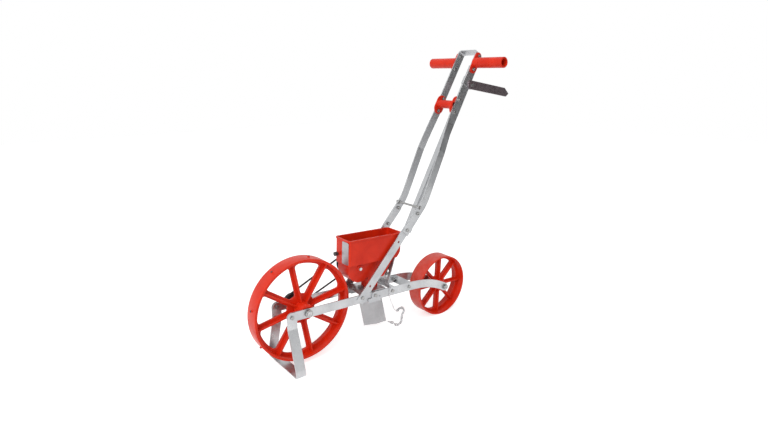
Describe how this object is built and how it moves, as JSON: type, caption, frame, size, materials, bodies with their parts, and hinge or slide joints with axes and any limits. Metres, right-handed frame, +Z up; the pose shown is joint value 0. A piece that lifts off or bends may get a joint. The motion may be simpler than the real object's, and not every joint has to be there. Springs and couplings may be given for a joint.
{
  "type": "garden seeder",
  "caption": "Walk-behind row seeder: spoked drive wheel, belt-driven seed plate under a hopper, opener shoe, drag chain, rear press wheel, folding stand and strip-steel handle.",
  "frame": {"origin": "on the ground, under the middle of the whole machine's outline, parked on its front stand and rear wheel", "axes": "+Z up, +X to the rear, towards the press wheel and the handle, +Y to the machine's right"},
  "size_m": [0.9078, 0.299, 0.8393],
  "materials": {
    "galvanised_steel": "zinc plated, satin",
    "zinc_fasteners": "zinc plated",
    "bright_steel": "bright drawn",
    "red_plastic": "moulded, semi-gloss",
    "rear_wheel_plastic": "moulded, semi-gloss",
    "black_plastic": "moulded, matt",
    "belt_rubber": "smooth round cord",
    "plate_aluminium": "satin"
  },
  "bodies": {
    "frame": {"brace_bolts": "zinc_fasteners", "chain_hanger_wire": "bright_steel", "drag_chain": "bright_steel", "drive_belt": "belt_rubber", "frame_bolts": "zinc_fasteners", "front_axle_bushes": "black_plastic", "grip_bolts": "zinc_fasteners", "handle_brace": "red_plastic", "handle_hoop": "galvanised_steel", "handle_joint_bolts": "zinc_fasteners", "hopper": "red_plastic", "hopper_adjust_bolt": "zinc_fasteners", "hopper_front_knob": "black_plastic", "hopper_plate": "plate_aluminium", "hopper_rear_bracket": "galvanised_steel", "hopper_saddle": "galvanised_steel", "kickstand_pivot_bolts": "zinc_fasteners", "left_grip": "red_plastic", "left_lower_handle_bar": "galvanised_steel", "left_opener_plate": "galvanised_steel", "left_side_rail": "galvanised_steel", "marker_arm": "galvanised_steel", "marker_clamp": "galvanised_steel", "marker_clamp_bolt": "zinc_fasteners", "opener_clamp_bolt": "zinc_fasteners", "opener_guide": "galvanised_steel", "rear_axle_bolt": "zinc_fasteners", "rear_axle_nut": "zinc_fasteners", "rear_cross_plate": "galvanised_steel", "rear_spacers": "zinc_fasteners", "right_grip": "red_plastic", "right_lower_handle_bar": "galvanised_steel", "right_opener_plate": "galvanised_steel", "right_side_rail": "galvanised_steel", "seed_shaft_bushes": "black_plastic", "spreader_nuts": "zinc_fasteners", "spreader_rod": "zinc_fasteners"},
    "front_wheel_set": {"front_wheel": "red_plastic", "front_axle": "bright_steel", "front_wheel_pin": "zinc_fasteners", "front_axle_collar": "zinc_fasteners", "drive_pulley": "black_plastic"},
    "seed_drive": {"seed_shaft": "bright_steel", "seed_plate": "black_plastic", "seed_pulley": "black_plastic"},
    "rear_wheel_set": {"rear_wheel": "rear_wheel_plastic"},
    "stand": {"kickstand": "galvanised_steel"},
    "opener": {"opener_shoe": "galvanised_steel"},
    "blade": {"marker_blade": "galvanised_steel"}
  },
  "joints": [
    {"name": "front_wheel_spin", "type": "hinge", "parent": "frame", "child": "front_wheel_set", "pos_m": [-0.3109, 0, 0.15666], "axis": [0, 1, 0], "continuous": true},
    {"name": "seed_drive_spin", "type": "hinge", "parent": "frame", "child": "seed_drive", "pos_m": [-0.12741, 0, 0.23272], "axis": [0, 1, 0], "continuous": true},
    {"name": "rear_wheel_spin", "type": "hinge", "parent": "frame", "child": "rear_wheel_set", "pos_m": [0.19807, 0, 0.099], "axis": [0, 1, 0], "continuous": true},
    {"name": "kickstand_fold", "type": "hinge", "parent": "frame", "child": "stand", "pos_m": [-0.36086, 0, 0.15884], "axis": [0, 1, 0], "range_deg": [0, 115]},
    {"name": "opener_depth", "type": "slide", "parent": "frame", "child": "opener", "axis": [-0.2028, 0, 0.9792], "range_m": [-0.015, 0.01]},
    {"name": "marker_blade_turn", "type": "hinge", "parent": "frame", "child": "blade", "pos_m": [0.27942, 0, 0.73645], "axis": [0, 1, 0], "range_deg": [-50, 60]}
  ],
  "couplings": [
    {"joint": "seed_drive_spin", "follows": "front_wheel_spin", "ratio": 0.83636}
  ]
}
